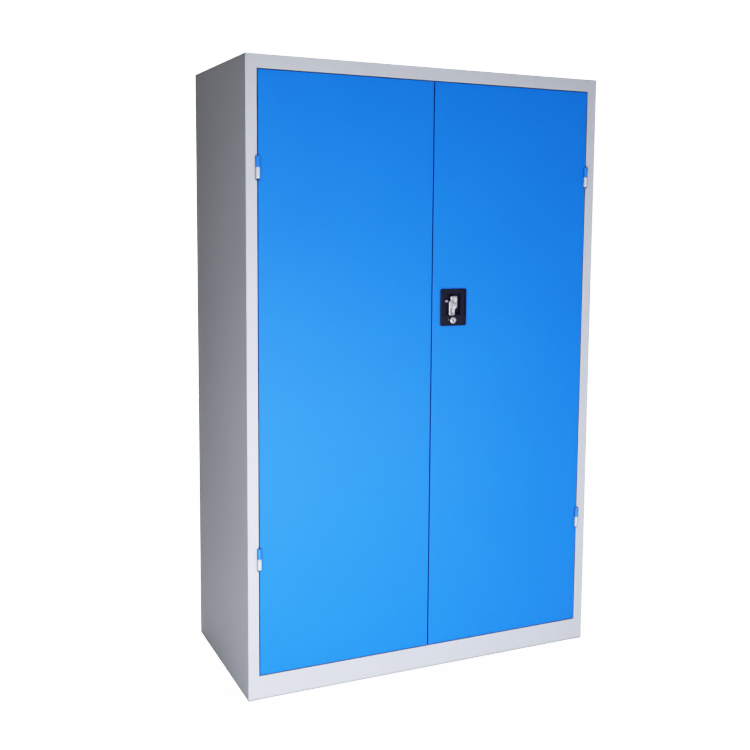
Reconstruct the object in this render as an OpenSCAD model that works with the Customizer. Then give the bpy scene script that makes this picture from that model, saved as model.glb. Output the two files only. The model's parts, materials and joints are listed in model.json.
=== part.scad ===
// Steel tool cabinet with two hinged doors, a two-bar lock and four adjustable shelves.
// Millimetres. X runs to the right, Y to the back, Z up. The origin is on the floor,
// in the middle of the body's footprint, and the doors' outer faces are the front.

/* [Cabinet] */
// Width of the body over the side panels
cabinet_w = 1120; // [900:10:1300]
// Depth of the body, doors included
cabinet_d = 560; // [450:10:700]
// Height of the body from the floor
cabinet_h = 1800; // [1500:10:2000]

/* [Body sheet metal] */
// Sheet thickness of the body
body_t = 1.0; // [0.8:0.1:1.5]
// Inside radius of the body's folds
body_bend = 1.2; // [0.8:0.1:2]
// Width of the upright strip beside each door
stile_w = 32; // [28:1:45]
// Height of the strip above the doors
rail_h = 38; // [28:1:60]
// Height of the plinth below the doors
plinth_h = 70; // [50:1:120]
// Width of the fold behind each stile
stile_return = 15; // [10:1:20]
// Width of the side panel's fold at the back
back_fold = 18; // [12:1:30]
// Width of the plinth's fold on the floor
floor_fold = 20; // [14:1:21]
// Height of the stop that each door closes against
stop_h = 12; // [10:1:16]

/* [Base and top] */
// Width of the rear base rail's folds
base_rail_w = 24; // [18:1:40]
// Width of the hats that stiffen the deck and the top
hat_w = 60; // [40:1:90]
// Width of a hat's welded feet
hat_foot = 16; // [12:1:24]
// Depth of the hat under the top
top_hat_d = 20; // [14:1:28]

/* [Doors] */
// Sheet thickness of the doors
door_t = 1.0; // [0.8:0.1:1.5]
// Thickness of a door from face to back
door_depth = 20; // [18:1:24]
// Outside radius of a door's front folds
door_bend = 2; // [1.6:0.1:3]
// Width of the fold round a door's back
door_flange = 25; // [24:1:32]
// Gap between a door and the frame
door_gap = 2; // [1.5:0.1:3]
// Gap between the two doors
meeting_gap = 3; // [2.5:0.1:5]
// Gap between a door's back and its stop
stop_gap = 1.8; // [1.5:0.1:2.5]
// Thickness of a rubber bumper
bumper_t = 1.5; // [1:0.1:1.5]
// Radius of a rubber bumper
bumper_r = 5; // [3:0.5:5]
// Distance of a bumper from the middle of the cabinet
bumper_x = 130; // [110:5:300]

/* [Hinges] */
// Radius of a hinge knuckle
knuckle_r = 6; // [5:0.25:7]
// Radius of a hinge pin
hinge_pin_r = 3; // [2:0.25:3.5]
// Height of each half of a hinge
knuckle_h = 30; // [24:1:40]
// Thickness of the washer between the halves
hinge_washer_t = 1; // [0.6:0.1:1.5]
// Distance of the hinge axis in front of the doors
hinge_proud = 1; // [0.5:0.25:2]
// Distance of the upper hinges' washer from the doors' upper edge
upper_hinge_down = 261; // [160:1:400]
// Distance of the lower hinges' washer from the doors' lower edge
lower_hinge_up = 339; // [160:1:450]
// Thickness of a hinge's welded leaf
leaf_t = 2; // [1.5:0.1:2.5]
// Depth of the frame half's leaf behind the jamb
frame_leaf_d = 20; // [14:1:22]
// Depth of the door half's leaf inside the door
door_leaf_d = 17; // [12:1:18]
// Length of pin in the door half
pin_reach = 24; // [15:1:26]
// Notch left open below the lower knuckle
notch_below = 5; // [3:0.5:8]

/* [Shelves] */
// Number of shelves
shelf_count = 4; // [4:1:4]
// Distance from shelf to shelf, in slots
shelf_slots = 7; // [5:1:7]
// Distance from slot to slot on an upright
slot_step = 50; // [40:5:50]
// Sheet thickness of a shelf
shelf_t = 1.0; // [0.8:0.1:1.2]
// Depth of a shelf's folded edge
shelf_edge = 30; // [25:1:40]
// Width of the fold under a shelf's edge
shelf_fold = 15; // [12:1:20]
// Setback of the shelves' front edge behind the doors
shelf_setback = 32; // [26:1:60]
// Gap between the shelves' back edge and the back panel
shelf_back_gap = 6; // [2:1:15]
// Sheet thickness of an upright
upright_t = 1.0; // [0.8:0.1:1.5]
// Width of an upright's slotted face
upright_w = 30; // [26:1:40]
// Depth of an upright
upright_d = 12; // [11:0.5:18]
// Width of a slot
slot_w = 14; // [12:1:18]
// Height of a slot
slot_h = 5; // [4:0.5:6]
// Sheet thickness of a shelf clip
clip_t = 1.5; // [1:0.1:1.8]
// Width of the shelf clip's ledge
clip_ledge = 13; // [8:1:16]

/* [Lock] */
// Distance of the lock from the middle of the cabinet
lock_x = 70; // [66:1:90]
// Height of the middle of the lock plate
lock_z = 1104; // [1000:1:1200]
// Width of the lock plate
plate_w = 86; // [84:1:100]
// Height of the lock plate
plate_h = 110; // [108:1:130]
// Thickness of the lock plate over the door
plate_t = 3; // [2:0.1:4]
// Radius of the lock plate's corners
plate_corner = 5; // [2:0.5:8]
// Wall thickness of the lock housing
housing_wall = 2; // [1.6:0.1:2.5]
// Width of the rim round the housing's dish
housing_rim = 4.5; // [4:0.1:5]
// Depth of the dish that the lever turns in
dish_d = 4.5; // [4.5:0.1:5.5]
// Depth of the step that carries the key barrel
ledge_d = 1.2; // [0.6:0.1:2]
// Width of the finger recess behind the lever
recess_w = 50; // [40:1:56]
// Height of the lever's pivot over the middle of the plate
pivot_up = 14; // [12:1:15]
// Depth of the key barrel's middle under the middle of the plate
barrel_down = 38.5; // [38:0.5:40]
// Length of the lever's arm below its pivot
lever_arm = 37; // [30:0.5:37]
// Width of the lever's head
lever_w = 29; // [24:1:32]
// Thickness of the lever
lever_t = 5; // [4:0.1:5]
// Radius of the lever's journal in the housing
journal_r = 6; // [6:0.1:7]
// Radius of the key barrel's body
barrel_r = 8.5; // [8:0.1:9]
// Radius of the key barrel's rim
barrel_rim_r = 10; // [10:0.1:11]
// Radius of the turning plug
plug_r = 6; // [5:0.1:6.5]
// Width of the pawl
pawl_w = 10; // [8:0.5:10]
// Length of the pawl from the plug's middle
pawl_len = 34; // [32:0.5:34]

/* [Lock bars] */
// Distance of each bar's stud from the lever's pivot
stud_orbit = 18; // [17.5:0.25:19]
// Radius of a stud
stud_r = 3; // [2.5:0.1:3.2]
// Width of a lock bar
bar_w = 17; // [16:0.5:18]
// Thickness of a lock bar
bar_t = 3; // [2.5:0.1:4]
// Gap between a lock bar's tip and the edge it clears
bar_tip_gap = 3; // [2:0.5:6]
// Distance from the lever's pivot to the guides next to it
guide_from_pivot = 180; // [120:5:250]
// Thickness of the cam plate
cam_t = 3; // [2.5:0.1:3.5]

/* [Left door bolts] */
// Radius of a bolt
bolt_r = 4; // [3:0.25:4.5]
// Travel of a bolt
bolt_travel = 20; // [15:1:20]
// Width of a bolt's base plate
bolt_plate_w = 20; // [18:1:22]

/* [Fits] */
// Gap round a part that turns or slides in a bore
running_gap = 0.05; // [0.02:0.01:0.1]
// Gap round a part that sits loosely in a hole
loose_gap = 0.5; // [0.3:0.1:0.6]

/* [Hidden] */
$fn = 48;

// Colours
GREY = [0.80, 0.82, 0.85];
BLUE = [0.10, 0.50, 0.92];
BLACK = [0.10, 0.10, 0.11];
ZINC = [0.72, 0.73, 0.74];
SILVER = [0.85, 0.85, 0.84];
RUBBER = [0.15, 0.15, 0.15];
BRASS = [0.80, 0.65, 0.30];

// Levels of the body
half_w = cabinet_w / 2;
front = -cabinet_d / 2;
back = cabinet_d / 2;
side_in = half_w - body_t;            // inner face of a side panel
open_x = half_w - stile_w;            // half the door opening
open_top = cabinet_h - rail_h;
door_back = front + door_depth;
stop_y = door_back + stop_gap;        // front of the door stops
stop_back = stop_y + body_t;
deck_top = plinth_h + stop_h + door_gap;
lip_low = open_top - stop_h;          // lower edge of the upper stop
top_in = cabinet_h - body_t;          // underside of the top sheet
back_in = back - 2 * body_t;          // inner face of the back panel

// Doors
door_edge_x = open_x - door_gap;
door_low = plinth_h + door_gap;
door_high = open_top - door_gap;
door_w = door_edge_x - meeting_gap / 2;
door_h = door_high - door_low;
stiffener_x = (door_edge_x + meeting_gap / 2) / 2;
stiffener_gap = 3;                    // left between a stiffener and the folds above and below it

// Hinges
hinge_x = open_x - door_gap / 2;
hinge_y = front - hinge_proud;
upper_hinge_z = door_high - upper_hinge_down;
lower_hinge_z = door_low + lower_hinge_up;
blind = 2;                           // bore left above the pin's end
notch_high = knuckle_h + hinge_washer_t + loose_gap;

// Shelves
web_in = side_in - upright_d;         // face of an upright
upright_foot = 12;
upright_front_y = stop_back + upright_foot + upright_w / 2 + 8;
upright_rear_y = back_in - upright_foot - upright_w / 2 - 10;
upright_top = top_in - top_hat_d - 2;
slot_start = 32;                      // lowest slot over the deck
shelf_side_gap = 1;
shelf_x = web_in - clip_t - shelf_side_gap;
shelf_front = door_back + shelf_setback;
shelf_back = back_in - shelf_back_gap;
clip_up = 15;                         // leg of a clip against the upright
clip_down = 8;                        // hook of a clip behind the upright
clip_side_gap = 0.5;

// Lock, from front to back
pivot_z = lock_z + pivot_up;
barrel_z = lock_z - barrel_down;
plate_y = front - plate_t;
body_half_w = plate_w / 2 - housing_rim + housing_wall;
body_half_h = plate_h / 2 - housing_rim + housing_wall;
dish_y = plate_y + dish_d;
housing_back = door_back - 4;
recess_floor = 2.5;
recess_y = housing_back - recess_floor;
recess_low = lock_z - 21;
recess_high = lock_z + 42;
dish_low = lock_z - 24.5;
lever_back = dish_y - loose_gap;
barrel_nut_t = 3;
cam_y = housing_back + barrel_nut_t + 0.2;
cam_back = cam_y + cam_t;
bar_y = stop_back + body_bend + 0.6;  // front face of the lock bars, clear of the stop's fold
bar_back = bar_y + bar_t;
nut_t = 5;
clip_ring_t = 0.7;
bar_x = (stud_orbit + stud_orbit * cos(45)) / 2; // a bar's middle, from the pivot
bar_slot_h = 2 * stud_r + 1.4;
bar_slot_w = stud_orbit * (1 - cos(45)) + 2 * stud_r + 0.8;
bar_end = 8;                          // bar beyond its slot's middle
stud_high = stud_orbit * sin(45);
square_w = 8;
upper_tip = lip_low - bar_tip_gap;
lower_tip = deck_top + bar_tip_gap;
guide_t = 1.5;
guide_h = 10;
guide_slack = 0.4;
guide_tip_gap = 2;                    // a guide's end inside the bar's tip

// Bolts of the left door
bolt_x = -(meeting_gap + door_flange) / 2;
bolt_y = bar_y + bolt_r;
bolt_plate_t = 1.5;
bolt_tip_gap = 2;
saddle_h = 8;
saddle_high = -saddle_h - 11;         // low end of the saddle near the tip, from the tip
knob_r = 2.5;
knob_z = saddle_high - 2.5 - knob_r - bolt_travel;
saddle_low = knob_z - 6 - saddle_h;
bolt_len = 10 - saddle_low;

// --- Helpers ---

// Sheet folded at right angles: pts is its middle line, t its thickness, ri its inside radius
module sheet(pts, t, ri) {
    n = len(pts);
    rc = ri + t / 2;
    ro = ri + t;
    for (i = [0:n - 2]) {
        d = (pts[i + 1] - pts[i]) / norm(pts[i + 1] - pts[i]);
        a = pts[i] + d * (i > 0 ? rc : 0);
        b = pts[i + 1] - d * (i < n - 2 ? rc : 0);
        side = [abs(d.y), abs(d.x)] * t / 2;
        low = [min(a.x, b.x), min(a.y, b.y)] - side;
        high = [max(a.x, b.x), max(a.y, b.y)] + side;
        translate(low) square(high - low);
    }
    for (i = [1:n - 2]) {
        d1 = (pts[i] - pts[i - 1]) / norm(pts[i] - pts[i - 1]);
        d2 = (pts[i + 1] - pts[i]) / norm(pts[i + 1] - pts[i]);
        s = d1 - d2;
        translate(pts[i] - rc * s)
            intersection() {
                difference() {
                    circle(ro);
                    circle(ri);
                }
                translate([min(0, s.x), min(0, s.y)] * ro) square(ro);
            }
    }
}

// Extrudes a (y, z) outline along X
module along_x(x0, x1) {
    translate([x0, 0, 0]) rotate([90, 0, 90]) linear_extrude(x1 - x0) children();
}

// Extrudes an (x, z) outline along Y
module along_y(y0, y1) {
    translate([0, y1, 0]) rotate([90, 0, 0]) linear_extrude(y1 - y0) children();
}

// Extrudes an (x, y) outline along Z
module along_z(z0, z1) {
    translate([0, 0, z0]) linear_extrude(z1 - z0) children();
}

// Round bar along Y
module round_y(x, z, y0, y1, r) {
    translate([x, y1, z]) rotate([90, 0, 0]) cylinder(r = r, h = y1 - y0);
}

// Box between two corners
module block(low, high) {
    translate(low) cube(high - low);
}

// Rectangle with its two corners on the line y = 0 rounded
module front_rounded(w, d, r) {
    translate([r, 0]) square([w - 2 * r, d]);
    translate([0, r]) square([w, d - r]);
    for (x = [r, w - r]) translate([x, r]) circle(r);
}

// Rectangle with four round corners, in the middle of the plane
module round_rect(w, h, r) {
    square([w - 2 * r, h], center = true);
    square([w, h - 2 * r], center = true);
    for (x = [-1, 1], y = [-1, 1]) translate([x * (w / 2 - r), y * (h / 2 - r)]) circle(r);
}

// Block whose face lies on y = 0 with four rounded edges
module pan_block(w, h, d, r) {
    intersection() {
        linear_extrude(h) front_rounded(w, d, r);
        along_x(0, w) mirror([1, -1]) front_rounded(h, d, r);
    }
}

// Sheet pan: face on y = 0, four folded edges and a fold round its back
module pan(w, h, d, t, r, fold) {
    difference() {
        pan_block(w, h, d, r);
        translate([t, t, t]) pan_block(w - 2 * t, h - 2 * t, d - 2 * t, r - t);
        block([fold, d / 2, fold], [w - fold, d + 1, h - fold]);
    }
}

// Hat section round the line x = 0: foot level at y = 0, crown d above it
module hat(w, d, foot, t, ri) {
    m = t / 2;
    sheet([[-w / 2 - foot, m], [-w / 2, m], [-w / 2, d - m], [w / 2, d - m], [w / 2, m],
        [w / 2 + foot, m]], t, ri);
}

// Mirrors its children to the side s, -1 for left and 1 for right
module to_side(s) {
    if (s < 0) mirror([1, 0, 0]) children();
    else children();
}

// --- Body ---

// Cut in a stile round a hinge
module stile_notches() {
    for (z = [upper_hinge_z, lower_hinge_z])
        block([hinge_x - knuckle_r, hinge_y - knuckle_r, z - knuckle_h - notch_below],
            [hinge_x + knuckle_r + loose_gap, hinge_y + knuckle_r + loose_gap, z + notch_high]);
}

module side_panel(s) {
    m = body_t / 2;
    color(GREY) to_side(s) difference() {
        along_z(0, top_in)
            sheet([[open_x + m + stile_return, stop_back - m], [open_x + m, stop_back - m],
                [open_x + m, front + m], [half_w - m, front + m], [half_w - m, back - m],
                [half_w - back_fold, back - m]], body_t, body_bend);
        stile_notches();
    }
}

module back_panel() {
    w = side_in - body_bend;
    color(GREY) block([-w, back_in, 0], [w, back_in + body_t, top_in]);
}

// Top sheet with the rail over the doors and the upper door stop folded from it
module top_panel() {
    m = body_t / 2;
    color(GREY) {
        along_x(-open_x, open_x)
            sheet([[back, top_in + m], [front + m, top_in + m], [front + m, open_top + m],
                [stop_back - m, open_top + m], [stop_back - m, lip_low]], body_t, body_bend);
        for (s = [-1, 1]) to_side(s) block([open_x, front, top_in], [half_w, back, cabinet_h]);
    }
}

module top_stiffener() {
    color(GREY) translate([0, 0, top_in]) mirror([0, 0, 1])
        along_y(stop_back + 20, back_in) hat(hat_w, top_hat_d, hat_foot, body_t, body_bend);
}

// Holes in the deck for the lock bar and the left door's lower bolt
module deck_holes() {
    translate([lock_x - bar_x, (bar_y + bar_back) / 2, deck_top])
        cube([bar_w + 2 * loose_gap, bar_t + 2 * loose_gap, 3 * body_t], center = true);
    translate([bolt_x, bolt_y, deck_top - 2 * body_t])
        cylinder(r = bolt_r + loose_gap, h = 3 * body_t);
}

// Bottom of the inside, with the lower door stop folded down at its front
module bottom_deck() {
    m = body_t / 2;
    color(GREY) difference() {
        union() {
            along_x(-open_x, open_x)
                sheet([[back_in, deck_top - m], [stop_back - m, deck_top - m],
                    [stop_back - m, plinth_h - body_t]], body_t, body_bend);
            for (s = [-1, 1]) to_side(s)
                along_y(stop_back + body_bend, back_in - body_bend)
                    sheet([[open_x - body_t, deck_top - m], [side_in - m, deck_top - m],
                        [side_in - m, deck_top - stop_h]], body_t, body_bend);
        }
        deck_holes();
    }
}

module front_plinth() {
    m = body_t / 2;
    color(GREY) along_x(-open_x, open_x)
        sheet([[front + floor_fold, m], [front + m, m], [front + m, plinth_h - m],
            [stop_y, plinth_h - m]], body_t, body_bend);
}

module rear_base_rail() {
    m = body_t / 2;
    w = side_in - body_t - body_bend;     // between the folds at the deck's sides
    color(GREY) along_x(-w, w)
        sheet([[back_in - base_rail_w, m], [back_in - m, m], [back_in - m, deck_top - body_t - m],
            [back_in - base_rail_w, deck_top - body_t - m]], body_t, body_bend);
}

module deck_support() {
    color(GREY) translate([0, 0, deck_top - body_t]) mirror([0, 0, 1])
        along_y(stop_back + body_bend, back_in - base_rail_w)
            hat(hat_w, deck_top - body_t, hat_foot, body_t, body_bend);
}

// --- Uprights, shelves and clips ---

slot_total = floor((upright_top - deck_top - slot_start - slot_h) / slot_step);

module upright(s, y) {
    color(GREY) to_side(s) difference() {
        translate([side_in, y, 0]) rotate(90) along_z(deck_top, upright_top)
            hat(upright_w, upright_d, upright_foot, upright_t, body_bend);
        for (k = [0:slot_total])
            translate([web_in + upright_t / 2, y, deck_top + slot_start + k * slot_step + slot_h / 2])
                cube([4 * upright_t, slot_w, slot_h], center = true);
    }
}

// Level of the clips' ledges under shelf i
function ledge_z(i) = deck_top + slot_start + (i * shelf_slots - 1) * slot_step + clip_t;

module shelf(i) {
    color(GREY) translate([-shelf_x, shelf_front, ledge_z(i) + shelf_edge]) rotate([-90, 0, 0])
        pan(2 * shelf_x, shelf_back - shelf_front, shelf_edge, shelf_t, shelf_t + body_bend,
            shelf_fold);
}

module shelf_stiffeners() {
    inner = shelf_x - shelf_t - body_bend;
    color(GREY) for (i = [1:shelf_count])
        translate([0, (shelf_front + shelf_back) / 2, ledge_z(i) + shelf_edge - shelf_t])
            mirror([0, 0, 1]) along_x(-inner, inner)
                hat(hat_w, shelf_edge - 2 * shelf_t - 4, hat_foot, shelf_t, body_bend);
}

// Clip hooked into a slot: ledge, leg on the upright's face and hook behind it
module shelf_clip() {
    w = slot_w / 2 - clip_side_gap;
    hook_x = web_in + upright_t + 0.3;
    block([web_in - clip_ledge, -w, -clip_t], [hook_x + clip_t, w, 0]);
    block([web_in - clip_t, -w, -clip_t], [web_in, w, clip_up]);
    block([hook_x, -w, -clip_t - clip_down], [hook_x + clip_t, w, 0]);
}

module shelf_clips(i) {
    color(ZINC) for (s = [-1, 1], y = [upright_front_y, upright_rear_y])
        to_side(s) translate([0, y, ledge_z(i)]) shelf_clip();
}

module door_bumpers() {
    color(RUBBER) for (s = [-1, 1], z = [lip_low + stop_h / 2, deck_top - stop_h / 2])
        round_y(s * bumper_x, z, stop_y - bumper_t, stop_y, bumper_r);
}

// --- Hinges ---

// Lower half, welded behind the jamb: its knuckle holds the pin
module hinge_frame_half(s, z) {
    color(GREY) to_side(s) difference() {
        union() {
            translate([hinge_x, hinge_y, z - knuckle_h]) cylinder(r = knuckle_r, h = knuckle_h);
            block([open_x + body_t, hinge_y, z - knuckle_h],
                [open_x + body_t + leaf_t, front + frame_leaf_d, z]);
        }
        translate([hinge_x, hinge_y, z - knuckle_h - 1])
            cylinder(r = hinge_pin_r, h = knuckle_h + 2);
    }
}

// Upper half, welded inside the door's edge: it drops over the pin
module hinge_door_half(s, z) {
    low = z + hinge_washer_t;
    color(BLUE) to_side(s) difference() {
        union() {
            translate([hinge_x, hinge_y, low]) cylinder(r = knuckle_r, h = knuckle_h);
            block([door_edge_x - door_t - leaf_t, hinge_y, low],
                [door_edge_x - door_t, front + door_leaf_d, low + knuckle_h]);
        }
        translate([hinge_x, hinge_y, z])
            cylinder(r = hinge_pin_r + running_gap, h = hinge_washer_t + pin_reach + blind);
    }
}

module hinge_pins() {
    color(ZINC) for (s = [-1, 1], z = [upper_hinge_z, lower_hinge_z])
        translate([s * hinge_x, hinge_y, z - knuckle_h])
            cylinder(r = hinge_pin_r, h = knuckle_h + hinge_washer_t + pin_reach);
}

module hinge_washers() {
    color(BRASS) for (s = [-1, 1], z = [upper_hinge_z, lower_hinge_z])
        translate([s * hinge_x, hinge_y, z]) difference() {
            cylinder(r = knuckle_r - loose_gap, h = hinge_washer_t);
            translate([0, 0, -1]) cylinder(r = hinge_pin_r + running_gap, h = hinge_washer_t + 2);
        }
}

// --- Doors ---

// Cut in a door's edge round a hinge
module door_notches() {
    for (z = [upper_hinge_z, lower_hinge_z])
        block([hinge_x - knuckle_r - loose_gap, hinge_y - knuckle_r, z - knuckle_h - notch_below],
            [hinge_x + knuckle_r, hinge_y + knuckle_r + loose_gap, z + notch_high]);
}

module door_pan() {
    difference() {
        translate([meeting_gap / 2, front, door_low])
            pan(door_w, door_h, door_depth, door_t, door_bend, door_flange);
        door_notches();
    }
}

module door_panel_left() {
    color(BLUE) mirror([1, 0, 0]) door_pan();
}

module door_panel_right() {
    color(BLUE) difference() {
        door_pan();
        translate([lock_x, 0, lock_z]) along_y(front - 1, front + door_t + 1)
            square(2 * [body_half_w + loose_gap, body_half_h + loose_gap], center = true);
    }
}

module door_stiffener(s) {
    color(BLUE) to_side(s) translate([stiffener_x, front + door_t, 0])
        along_z(door_low + door_flange + stiffener_gap, door_high - door_flange - stiffener_gap)
            hat(hat_w, door_depth - 2 * door_t, hat_foot, door_t, body_bend);
}

// --- Lock ---

// Black housing: plate over the door, dish for the lever, finger recess and barrel seat
module lock_housing() {
    rim_w = plate_w / 2 - housing_rim;
    rim_h = plate_h / 2 - housing_rim;
    shell_y = dish_y + housing_wall;
    barrel_boss_r = barrel_rim_r + housing_wall;
    color(BLACK) translate([lock_x, 0, lock_z]) difference() {
        union() {
            along_y(plate_y, front) round_rect(plate_w, plate_h, plate_corner);
            along_y(front, housing_back) square(2 * [body_half_w, body_half_h], center = true);
        }
        // dish, barrel step and finger recess, from the front
        along_y(plate_y - 1, dish_y) translate([-rim_w, dish_low - lock_z])
            square([2 * rim_w, rim_h - (dish_low - lock_z)]);
        along_y(plate_y - 1, plate_y + ledge_d) translate([-rim_w, -rim_h])
            square([2 * rim_w, rim_h + dish_low - lock_z + 1]);
        along_y(plate_y - 1, recess_y) translate([-recess_w / 2, recess_low - lock_z])
            square([recess_w, recess_high - recess_low]);
        // hollow back, round the recess and the bosses
        along_y(shell_y, housing_back + 1) difference() {
            square(2 * [body_half_w - housing_wall, body_half_h - housing_wall], center = true);
            translate([-recess_w / 2 - housing_wall, recess_low - lock_z - housing_wall])
                square([recess_w + 2 * housing_wall, recess_high - recess_low + 2 * housing_wall]);
            translate([0, -barrel_down]) circle(barrel_boss_r);
            translate([-barrel_boss_r, -body_half_h]) square([2 * barrel_boss_r, body_half_h - barrel_down]);
            for (p = clamp_points) translate(p) circle(clamp_boss_r);
        }
        round_y(0, pivot_up, recess_y - 1, housing_back + 1, journal_r + running_gap);
        round_y(0, -barrel_down, plate_y, housing_back + 1, barrel_r + running_gap);
        for (p = clamp_points) round_y(p.x, p.y, housing_back - screw_deep, housing_back + 1, screw_r);
    }
}

screw_r = 1.5;
screw_deep = 7;
screw_head_r = 2.75;
screw_head_t = 2.2;
clamp_boss_r = 3.5;
clamp_w = 14;
clamp_foot = 12;
// Screws of the two clamps, from the middle of the lock plate
clamp_points = [[0, body_half_h - clamp_boss_r], [28, clamp_boss_r - body_half_h]];

// Folded clamps, screwed on the housing's back, that grip the door's sheet
module lock_clamps() {
    t = guide_t;
    color(ZINC) for (k = [0, 1]) {
        p = clamp_points[k];
        translate([lock_x, 0, lock_z]) mirror([0, 0, k]) difference() {
            along_x(p.x - clamp_w / 2, p.x + clamp_w / 2)
                sheet([[housing_back + t / 2, body_half_h - 2 * clamp_boss_r],
                    [housing_back + t / 2, body_half_h + loose_gap + t / 2],
                    [front + door_t + t / 2, body_half_h + loose_gap + t / 2],
                    [front + door_t + t / 2, body_half_h + clamp_foot]], t, t / 2);
            round_y(p.x, abs(p.y), housing_back - 1, housing_back + t + 1, screw_r + running_gap);
        }
    }
}

module clamp_screws() {
    y = housing_back + guide_t;
    color(ZINC) translate([lock_x, 0, lock_z]) for (p = clamp_points) {
        round_y(p.x, p.y, housing_back - screw_deep, y, screw_r);
        difference() {
            round_y(p.x, p.y, y, y + screw_head_t, screw_head_r);
            for (a = [0, 90]) translate([p.x, y + screw_head_t, p.y]) rotate([0, a, 0])
                cube([screw_head_r * 1.3, screw_head_t, 0.8], center = true);
        }
    }
}

// Outline of the lever round its pivot: broad head, arm drawn in on its right side
module lever_outline() {
    head = 20;
    left = -lever_w / 2;
    right = lever_w / 2;
    corner = 4;
    arm_right = right - 9;
    tip_r = (arm_right - left) / 2 - 0.5;
    difference() {
        union() {
            translate([left + corner, 0]) square([lever_w - 2 * corner, head]);
            translate([left, -14]) square([lever_w, head + 14 - corner]);
            for (x = [left + corner, right - corner]) translate([x, head - corner]) circle(corner);
            translate([left, -lever_arm + tip_r]) square([arm_right - left, lever_arm - tip_r]);
            for (x = [left + tip_r, arm_right - tip_r])
                translate([x, -lever_arm + tip_r]) circle(tip_r);
        }
        // hollow for the finger on the right
        translate([right, -18]) circle(9);
    }
}

// Lever with its hub, journal, square and threaded end, one casting
module lock_lever() {
    color(SILVER) translate([lock_x, 0, pivot_z]) {
        along_y(lever_back - lever_t, lever_back) lever_outline();
        round_y(0, 0, lever_back, recess_y - 0.3, journal_r + 3);
        round_y(0, 0, recess_y - 0.3, cam_y, journal_r);
        along_y(cam_y, cam_back) square(square_w, center = true);
        round_y(0, 0, cam_back, cam_back + nut_t + 0.5, screw_r * 2);
    }
}

module lever_spacer() {
    color(BRASS) translate([lock_x, 0, pivot_z]) difference() {
        round_y(0, 0, housing_back + 0.1, cam_y, journal_r + 3);
        round_y(0, 0, housing_back - 1, cam_y + 1, journal_r + running_gap);
    }
}

module lever_nut() {
    color(ZINC) translate([lock_x, 0, pivot_z]) difference() {
        translate([0, cam_back + nut_t, 0]) rotate([90, 0, 0])
            cylinder(r = 10 / sqrt(3), h = nut_t, $fn = 6);
        round_y(0, 0, cam_back - 1, cam_back + nut_t + 1, screw_r * 2);
    }
}

// Cam plate at rest: the studs lie 45 degrees below and above the pivot, the ear to the left
module lock_cam() {
    color(ZINC) translate([lock_x, 0, pivot_z]) along_y(cam_y, cam_back) difference() {
        union() {
            circle(journal_r + 6);
            for (a = [-45, 135]) rotate(a) {
                translate([stud_orbit, 0]) circle(stud_r + 3.5);
                translate([0, -stud_r - 3.5]) square([stud_orbit, 2 * stud_r + 7]);
            }
            translate([-22, -17]) square([22, 17 - pawl_w / 2 - 0.5]);
        }
        square(square_w, center = true);
        for (a = [-45, 135]) rotate(a) translate([stud_orbit, 0]) circle(stud_r);
    }
}

module cam_studs() {
    color(ZINC) for (a = [-45, 135]) translate([lock_x, 0, pivot_z])
        rotate([0, -a, 0]) {
            round_y(stud_orbit, 0, cam_y, bar_back + 0.3 + clip_ring_t + 0.5, stud_r);
            round_y(stud_orbit, 0, cam_back, bar_y - 0.3, stud_r + 1.5);
        }
}

module stud_clips() {
    color(ZINC) for (a = [-45, 135]) translate([lock_x, 0, pivot_z])
        rotate([0, -a, 0]) difference() {
            round_y(stud_orbit, 0, bar_back + 0.3, bar_back + 0.3 + clip_ring_t, stud_r + 2);
            round_y(stud_orbit, 0, bar_back, bar_back + 2, stud_r);
        }
}

module lock_barrel() {
    color(SILVER) translate([lock_x, 0, barrel_z]) difference() {
        union() {
            round_y(0, 0, plate_y + ledge_d - 2.5, plate_y + ledge_d, barrel_rim_r);
            round_y(0, 0, plate_y + ledge_d, cam_y - 0.2, barrel_r);
        }
        round_y(0, 0, plate_y - 5, cam_y + 1, plug_r + running_gap);
    }
}

module barrel_nut() {
    color(ZINC) translate([lock_x, 0, barrel_z]) difference() {
        translate([0, housing_back + barrel_nut_t - 0.2, 0]) rotate([90, 0, 0])
            cylinder(r = 22 / sqrt(3), h = barrel_nut_t - 0.2, $fn = 6);
        round_y(0, 0, housing_back - 1, cam_y + 1, barrel_r);
    }
}

// Plug that the key turns, with a keyway in its face and a square for the pawl
module lock_plug() {
    plug_front = plate_y + ledge_d - 2.2;
    color(SILVER) translate([lock_x, 0, barrel_z]) difference() {
        union() {
            round_y(0, 0, plug_front, cam_y, plug_r);
            along_y(cam_y, cam_back) square(6, center = true);
        }
        block([-0.8, plug_front - 1, -3.5], [0.8, plug_front + 8, 3.5]);
        round_y(0, 0, cam_y - 2, cam_back + 1, screw_r);
    }
}

// Pawl at rest, pointing left: turned up, it stands in the way of the cam's ear
module lock_pawl() {
    color(ZINC) translate([lock_x, 0, barrel_z]) along_y(cam_y, cam_back) difference() {
        union() {
            circle(9);
            translate([-pawl_len, -pawl_w / 2]) square([pawl_len, pawl_w]);
        }
        square(6, center = true);
    }
}

module pawl_screw() {
    color(ZINC) translate([lock_x, 0, barrel_z]) {
        round_y(0, 0, cam_y - 2, cam_back, screw_r);
        difference() {
            round_y(0, 0, cam_back, cam_back + screw_head_t, screw_r + 3);
            for (a = [0, 90]) translate([0, cam_back + screw_head_t, 0]) rotate([0, a, 0])
                cube([6, screw_head_t, 0.9], center = true);
        }
    }
}

// --- Lock bars and guides ---

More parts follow.
